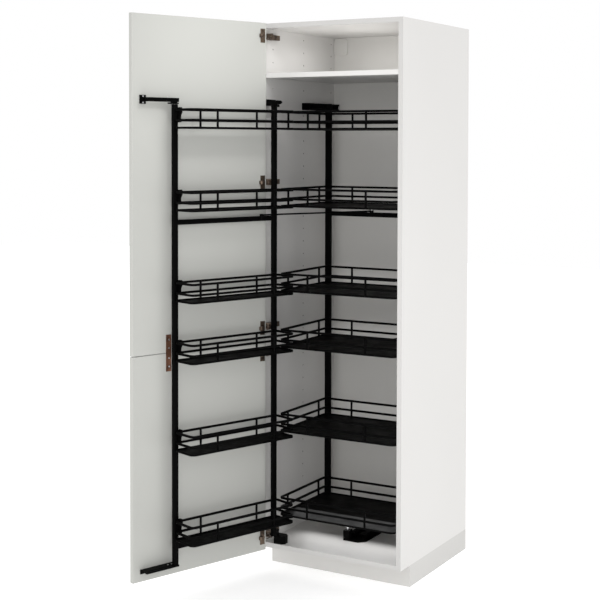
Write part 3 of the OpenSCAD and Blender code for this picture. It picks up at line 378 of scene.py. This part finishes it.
def basket_tree():
    """Two rounded rings of wire, struts between them and a shallow rimmed floor.
    The origin is the middle of the basket, at the height of its top wire."""
    g = Geometry("basket", {
        "Width": "NodeSocketFloat", "Depth": "NodeSocketFloat", "Corner": "NodeSocketFloat",
        "Wire Radius": "NodeSocketFloat", "Strut Radius": "NodeSocketFloat",
        "Wire Drop": "NodeSocketFloat", "Floor Drop": "NodeSocketFloat",
        "Rim Height": "NodeSocketFloat", "Rim Thickness": "NodeSocketFloat",
        "Floor Thickness": "NodeSocketFloat",
        "Front Strut": "NodeSocketFloat", "Front Shift": "NodeSocketFloat",
        "Side Strut": "NodeSocketFloat", "Side Count": "NodeSocketInt",
        "Material": "NodeSocketMaterial",
    })

    def double(value):
        return g.maths("MULTIPLY", value, 2.0)

    def half(value):
        return g.maths("MULTIPLY", value, 0.5)

    def less(value):
        return g.maths("MULTIPLY", value, -1.0)

    def outline(extra, corner_extra):
        """Rounded rectangle round the basket, so much larger than the wires' middle line."""
        width = g.maths("ADD", g["Width"], extra)
        depth = g.maths("ADD", g["Depth"], extra)
        rectangle = g.node("GeometryNodeCurvePrimitiveQuadrilateral", {"mode": "RECTANGLE"},
                           {"Width": width, "Height": depth})
        radius = g.maths("ADD", g["Corner"], corner_extra)
        return g.node("GeometryNodeFilletCurve", {"mode": "POLY"}, {
            "Curve": rectangle, "Radius": radius, "Count": CORNER_STEPS, "Limit Radius": True})

    def moved(piece, x=0.0, y=0.0, z=0.0):
        return g.node("GeometryNodeTransform", {}, {
            "Geometry": piece, "Translation": g.vector(x, y, z)})

    # The rings are bars with softened edges, so their faces catch the light as flat strips
    wire_w = double(g["Wire Radius"])
    square = g.node("GeometryNodeCurvePrimitiveQuadrilateral", {"mode": "RECTANGLE"},
                    {"Width": wire_w, "Height": wire_w})
    soft = g.node("GeometryNodeFilletCurve", {"mode": "POLY"}, {
        "Curve": square, "Radius": g.maths("MULTIPLY", g["Wire Radius"], WIRE_SOFTNESS),
        "Count": WIRE_STEPS, "Limit Radius": True})
    ring = g.node("GeometryNodeCurveToMesh", {}, {"Curve": outline(0.0, 0.0), "Profile Curve": soft})
    second = moved(ring, z=less(g["Wire Drop"]))

    # Rim: an upright band round the floor, flush with the wires' outer faces
    band = g.node("GeometryNodeCurvePrimitiveQuadrilateral", {"mode": "RECTANGLE"},
                  {"Width": g["Rim Thickness"], "Height": g["Rim Height"]})
    inset = g.maths("SUBTRACT", wire_w, g["Rim Thickness"])
    rim_path = outline(inset, half(inset))
    rim = g.node("GeometryNodeCurveToMesh", {}, {"Curve": rim_path, "Profile Curve": band})
    rim = moved(rim, z=g.maths("SUBTRACT", half(g["Rim Height"]), g["Floor Drop"]))

    # Floor: a filled outline and the same turned over below it
    sheet = g.node("GeometryNodeFillCurve", {"mode": "NGONS"}, {"Curve": rim_path})
    under = g.node("GeometryNodeFlipFaces", {}, {"Mesh": sheet})
    floor_top = g.maths("SUBTRACT", g["Floor Thickness"], g["Floor Drop"])
    floor = [moved(sheet, z=floor_top), moved(under, z=less(g["Floor Drop"]))]

    # Struts: round wires from the rim up to the top wire
    rim_top = g.maths("SUBTRACT", g["Rim Height"], g["Floor Drop"])
    line = g.node("GeometryNodeCurvePrimitiveLine", {}, {
        "Start": g.vector(z=rim_top), "End": g.vector()})
    circle = g.node("GeometryNodeCurvePrimitiveCircle", {"mode": "RADIUS"},
                    {"Resolution": STRUT_SIDES, "Radius": g["Strut Radius"]})
    strut = g.node("GeometryNodeCurveToMesh", {}, {
        "Curve": line, "Profile Curve": circle, "Fill Caps": True})
    half_w, half_d = half(g["Width"]), half(g["Depth"])
    half_side = g.maths("SUBTRACT", half_d, g["Side Strut"])
    struts = []
    for side in (-1.0, 1.0):
        x = g.maths("ADD", g.maths("MULTIPLY", g["Front Strut"], side), g["Front Shift"])
        for end in (-1.0, 1.0):
            struts.append(moved(strut, x, g.maths("MULTIPLY", half_d, end)))
        x = g.maths("MULTIPLY", half_w, side)
        row = g.node("GeometryNodeMeshLine", {"mode": "END_POINTS"}, {
            "Count": g["Side Count"],
            "Start Location": g.vector(x, less(half_side)),
            "Offset": g.vector(x, half_side)})
        struts.append(g.node("GeometryNodeInstanceOnPoints", {}, {"Points": row, "Instance": strut}))
    g.finish(g.join([ring, second, rim, *floor, *struts]), g["Material"])
    return g


# ---------------------------------------------------------------- baskets

# Half a ring wire's width, a strut's radius and the radius of the rings' corners
WIRE_R = 4.0 * MM
STRUT_R = 4.1 * MM
CORNER = 15.0 * MM
# Distance from the top wire down to the second
WIRE_DROP = 37.0 * MM
RIM_H = 7.0 * MM
RIM_T = 2.0 * MM
FLOOR_T = 2.5 * MM
BASKETS = range(1, 7)
# Places of the struts on the long sides, from the middle, and on the short sides, from the corners
DOOR_STRUTS = {"Front Strut": 0.128, "Front Shift": -0.0078, "Side Strut": 0.0, "Side Count": 0}
REAR_STRUTS = {"Front Strut": 0.1215, "Front Shift": 0.0, "Side Strut": 0.057, "Side Count": 2}

# The door-side frame stands open. Its own axes have their origin on its pivot, their x along
# the frame and their y out of its face.
SWING = next(joint for joint in frame["joints"] if joint["name"] == "frame_swing")
FRAME_PIVOT = Vector(SWING["pos_m"])
OPEN_TURN = Matrix.Rotation(-math.radians(SWING["range_deg"][1]), 4, "Z")
IN_DOOR_FRAME = Matrix.Translation(FRAME_PIVOT) @ OPEN_TURN
UNTURNED = Matrix.Identity(4)


def frame_box(node):
    """The box of a node on the door side, along the door-side frame's own axes."""
    corners = [OPEN_TURN.inverted() @ (v.co - FRAME_PIVOT) for v in NODES[node].data.vertices]
    low = Vector(min(c[i] for c in corners) for i in range(3))
    high = Vector(max(c[i] for c in corners) for i in range(3))
    return low, high


def world_box(node):
    low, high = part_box(node)
    return Vector(low), Vector(high)


# Each frame's body, its place, the boxes of its nodes, and where its baskets' struts stand
FRAMES = {
    "front": ("door_frame", IN_DOOR_FRAME, frame_box, DOOR_STRUTS, "door"),
    "rear": ("rear_frame", UNTURNED, world_box, REAR_STRUTS, "rear"),
}


def make_baskets():
    tree = basket_tree()
    for number in BASKETS:
        for side, (body, place, box_of, struts, label) in FRAMES.items():
            node = "%s_tray_%d" % (side, number)
            low, high = box_of(node)
            size = high - low
            top = high.z - WIRE_R
            middle = Vector(((low.x + high.x) / 2, (low.y + high.y) / 2, top))
            piece = grown(tree, "%s_basket_%d" % (label, number), {
                "Width": size.x - 2 * WIRE_R, "Depth": size.y - 2 * WIRE_R, "Corner": CORNER,
                "Wire Radius": WIRE_R, "Strut Radius": STRUT_R, "Wire Drop": WIRE_DROP,
                "Floor Drop": top - low.z, "Rim Height": RIM_H, "Rim Thickness": RIM_T,
                "Floor Thickness": FLOOR_T, "Material": MATERIALS["black_basket"], **struts},
                place @ Matrix.Translation(middle))
            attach(piece, body)
            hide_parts(node)


# ---------------------------------------------------------------- uprights, clips and covers

ARC_STEPS = 6
BEVEL_STEPS = 2
BEVEL_SHAPE = 0.6
SHARP_ANGLE = math.radians(35)
# Two heights closer than this are one level
SAME_LEVEL = 1e-7


def round_profile(low, high, radius):
    """Points round a rectangle with round corners."""
    points = []
    corners = ((high.x, high.y, 0), (low.x, high.y, 1), (low.x, low.y, 2), (high.x, low.y, 3))
    for x, y, quarter in corners:
        inward = Vector((-1 if x == high.x else 1, -1 if y == high.y else 1)) * radius
        for step in range(ARC_STEPS + 1):
            angle = math.pi / 2 * (quarter + step / ARC_STEPS)
            points.append((x + inward.x + radius * math.cos(angle),
                           y + inward.y + radius * math.sin(angle)))
    return points


def prism(points, low, high, ease, turn):
    """A mesh between two levels over an outline, with its end edges eased, turned to its place."""
    shape = bmesh.new()
    base = shape.faces.new([shape.verts.new((x, y, low)) for x, y in points])
    raised = bmesh.ops.extrude_face_region(shape, geom=[base])["geom"]
    for vertex in (v for v in raised if isinstance(v, bmesh.types.BMVert)):
        vertex.co.z = high
    rims = [e for e in shape.edges if abs(e.verts[0].co.z - e.verts[1].co.z) < SAME_LEVEL]
    bmesh.ops.bevel(shape, geom=rims, offset=ease, segments=BEVEL_STEPS, profile=BEVEL_SHAPE,
                    affect="EDGES")
    return placed(shape, turn)


def placed(shape, turn):
    bmesh.ops.transform(shape, matrix=turn, verts=shape.verts)
    bmesh.ops.recalc_face_normals(shape, faces=shape.faces)
    return shape


def finished(shapes, name, slot_name, body, *nodes):
    """Joins meshes into one piece with a slot's finish, which rides on a body."""
    mesh = bpy.data.meshes.new(name)
    whole = bmesh.new()
    for shape in shapes:
        part = bpy.data.meshes.new("part")
        shape.to_mesh(part)
        whole.from_mesh(part)
        shape.free()
        bpy.data.meshes.remove(part)
    whole.to_mesh(mesh)
    whole.free()
    for polygon in mesh.polygons:
        polygon.use_smooth = True
    mesh.set_sharp_from_angle(angle=SHARP_ANGLE)
    mesh.materials.append(MATERIALS[slot_name])
    piece = bpy.data.objects.new(name, mesh)
    bpy.context.scene.collection.objects.link(piece)
    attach(piece, body)
    if nodes:
        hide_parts(*nodes)


UPRIGHTS = {"front": ("front_upright_free", "front_upright_pivot"),
            "rear": ("rear_upright_left", "rear_upright_right")}
UPRIGHT_ROUND = 2.5 * MM
UPRIGHT_EASE = 0.6 * MM


def make_uprights():
    """Bars with rounded edges."""
    for side, nodes in UPRIGHTS.items():
        body, place, box_of = FRAMES[side][:3]
        for node in nodes:
            low, high = box_of(node)
            outline = round_profile(low, high, UPRIGHT_ROUND)
            shape = prism(outline, low.z, high.z, UPRIGHT_EASE, place)
            finished([shape], node + "_tube", "black_coating", body, node)


FOOT_WALL = 2.0 * MM
FOOT_OVER_RAIL = 1.5 * MM


def make_foot():
    """Sleeve round the stem of the bottom carriage, from the free upright down to the rail."""
    low, high = frame_box("front_upright_free")
    end = frame_box("bottom_door_rail")[1].z + FOOT_OVER_RAIL
    middle = (low + high) / 2
    half = ((high - low) / 2).xy
    narrow = Vector(((half.x - FOOT_WALL) / half.x, (half.y - FOOT_WALL) / half.y))
    as_upright = Vector((1.0, 1.0))
    sleeve = bmesh.new()
    rings = []
    for scale, level in ((as_upright, low.z), (as_upright, end), (narrow, end), (narrow, low.z)):
        rings.append([
            sleeve.verts.new((middle.x + (x - middle.x) * scale.x,
                              middle.y + (y - middle.y) * scale.y, level))
            for x, y in round_profile(low, high, UPRIGHT_ROUND)])
    for ring, following in zip(rings, rings[1:] + rings[:1]):
        for index in range(len(ring)):
            after = (index + 1) % len(ring)
            sleeve.faces.new((ring[index], ring[after], following[after], following[index]))
    finished([placed(sleeve, IN_DOOR_FRAME)], "upright_foot", "black_coating", "door_frame")


# Outline of a basket clip in mm: distance from its upright's face, height over the top wire
CLIP_OUTLINE = (
    (0.2, 8.6), (13.5, 9.0), (16.8, 5.0), (16.8, -9.0), (13.0, -14.0), (8.5, -22.0), (8.0, -31.0),
    (12.0, -33.5), (12.0, -42.0), (10.0, -43.5), (0.2, -44.0))
# Reach of a clip over its upright's face, and from the upright's edge to the baskets' middle
CLIP_OVER = 3.0 * MM
CLIP_BESIDE = 7.0 * MM
CLIP_EASE = 1.5 * MM


def clip_shape(edge, away, face, outwards, wire_z, place):
    """A moulded clip that grips a basket's two wires beside an upright. edge is the upright's
    inner edge, away the way from there to the basket's middle, face the level of the upright's
    face and outwards the way out of it."""
    outline = [(y * MM, z * MM) for y, z in CLIP_OUTLINE]
    ends = sorted((edge - away * CLIP_OVER, edge + away * CLIP_BESIDE))
    # The outline's first axis points out of the face, its second up, and its length along the frame
    stand = Matrix(((0, 0, 1, 0), (outwards, 0, 0, face), (0, 1, 0, wire_z), (0, 0, 0, 1)))
    return prism(outline, *ends, CLIP_EASE, place @ stand)


def make_clips():
    for side, nodes in UPRIGHTS.items():
        body, place, box_of, _, label = FRAMES[side]
        boxes = [box_of(node) for node in nodes]
        middle = sum(low.x + high.x for low, high in boxes) / 4
        shapes = []
        for number in BASKETS:
            wire_z = box_of("%s_tray_%d" % (side, number))[1].z - WIRE_R
            for low, high in boxes:
                edge, away = (high.x, 1) if high.x < middle else (low.x, -1)
                face, outwards = (high.y, 1) if side == "front" else (low.y, -1)
                shapes.append(clip_shape(edge, away, face, outwards, wire_z, place))
        finished(shapes, label + "_basket_clips", "black_coating", body, side + "_tray_clips")


# Cover over a wall fixing: distances of its sides from the middle, its two heights and its form
COVER_SIDES = (0.2175, 0.2815)
COVER_LEVELS = (1.992, 2.059)
COVER_ROUND = 14.0 * MM
COVER_T = 6.0 * MM
COVER_EASE = 1.2 * MM
COVER_GAP = 0.1 * MM


def make_wall_covers():
    """Covers over the two wall fixings, high up on the back panel."""
    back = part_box("back_panel")[0][1]
    # The outline stands upright, and its thickness points to the front
    stand = Matrix(((1, 0, 0, 0), (0, 0, 1, 0), (0, 1, 0, 0), (0, 0, 0, 1)))
    shapes = []
    for side in (-1, 1):
        ends = sorted(side * x for x in COVER_SIDES)
        low, high = (Vector(corner) for corner in zip(ends, COVER_LEVELS))
        outline = round_profile(low, high, COVER_ROUND)
        shapes.append(prism(outline, back - COVER_T, back - COVER_GAP, COVER_EASE, stand))
    finished(shapes, "wall_fixing_covers", "back_board", "cabinet")


# ---------------------------------------------------------------- studio


# Lamps: place, the point they shine at, two sides, power and spread in degrees
LAMPS = {
    "front_fill": ((0.75, -1.7, 1.15), (-0.05, 0.35, 1.1), (0.6, 1.9), 3.8, 80.0),
    "top_fill": ((0.02, 0.24, 2.056), (0.02, 0.25, 1.88), (0.3, 0.36), 1.05, 165.0),
    "floor_fill": ((0.05, 0.12, 0.208), (0.05, 0.02, 0.1), (0.5, 0.2), 0.5, 170.0),
    "door_fill": ((1.3, -0.9, 2.9), (-0.35, -0.3, 1.9), (0.5, 0.5), 0.54, 30.0),
}
# Half the side of the studio's floor
FLOOR_REACH = 12.0


def area_light(name, place, target, size, power, spread):
    data = bpy.data.lights.new(name, "AREA")
    data.shape = "RECTANGLE"
    data.size, data.size_y = size
    data.energy = power
    data.spread = math.radians(spread)
    lamp = bpy.data.objects.new(name, data)
    lamp.location = place
    way = Vector(target) - Vector(place)
    lamp.rotation_euler = way.to_track_quat("-Z", "Y").to_euler()
    lamp.visible_camera = False
    bpy.context.scene.collection.objects.link(lamp)


def make_studio():
    world = bpy.data.worlds.new("studio")
    world.use_nodes = True
    background = world.node_tree.nodes["Background"]
    background.inputs["Color"].default_value = grey(1.0)
    background.inputs["Strength"].default_value = 1.0
    bpy.context.scene.world = world
    bpy.context.scene.view_settings.view_transform = "Standard"

    mesh = bpy.data.meshes.new("studio_floor")
    corners = [(x * FLOOR_REACH, y * FLOOR_REACH, 0) for x, y in ((-1, -1), (1, -1), (1, 1), (-1, 1))]
    mesh.from_pydata(corners, [], [(0, 1, 2, 3)])
    floor = bpy.data.objects.new("studio_floor", mesh)
    bpy.context.scene.collection.objects.link(floor)
    floor.data.materials.append(Graph("studio_floor").set(
        Base_Color=grey(0.8), Roughness=0.9, Emission_Color=grey(1.0), Emission_Strength=0.45))
    for name, settings in LAMPS.items():
        area_light(name, *settings)


# ---------------------------------------------------------------- build

make_camera()
dress_nodes()
make_baskets()
make_uprights()
make_foot()
make_clips()
make_wall_covers()
make_studio()
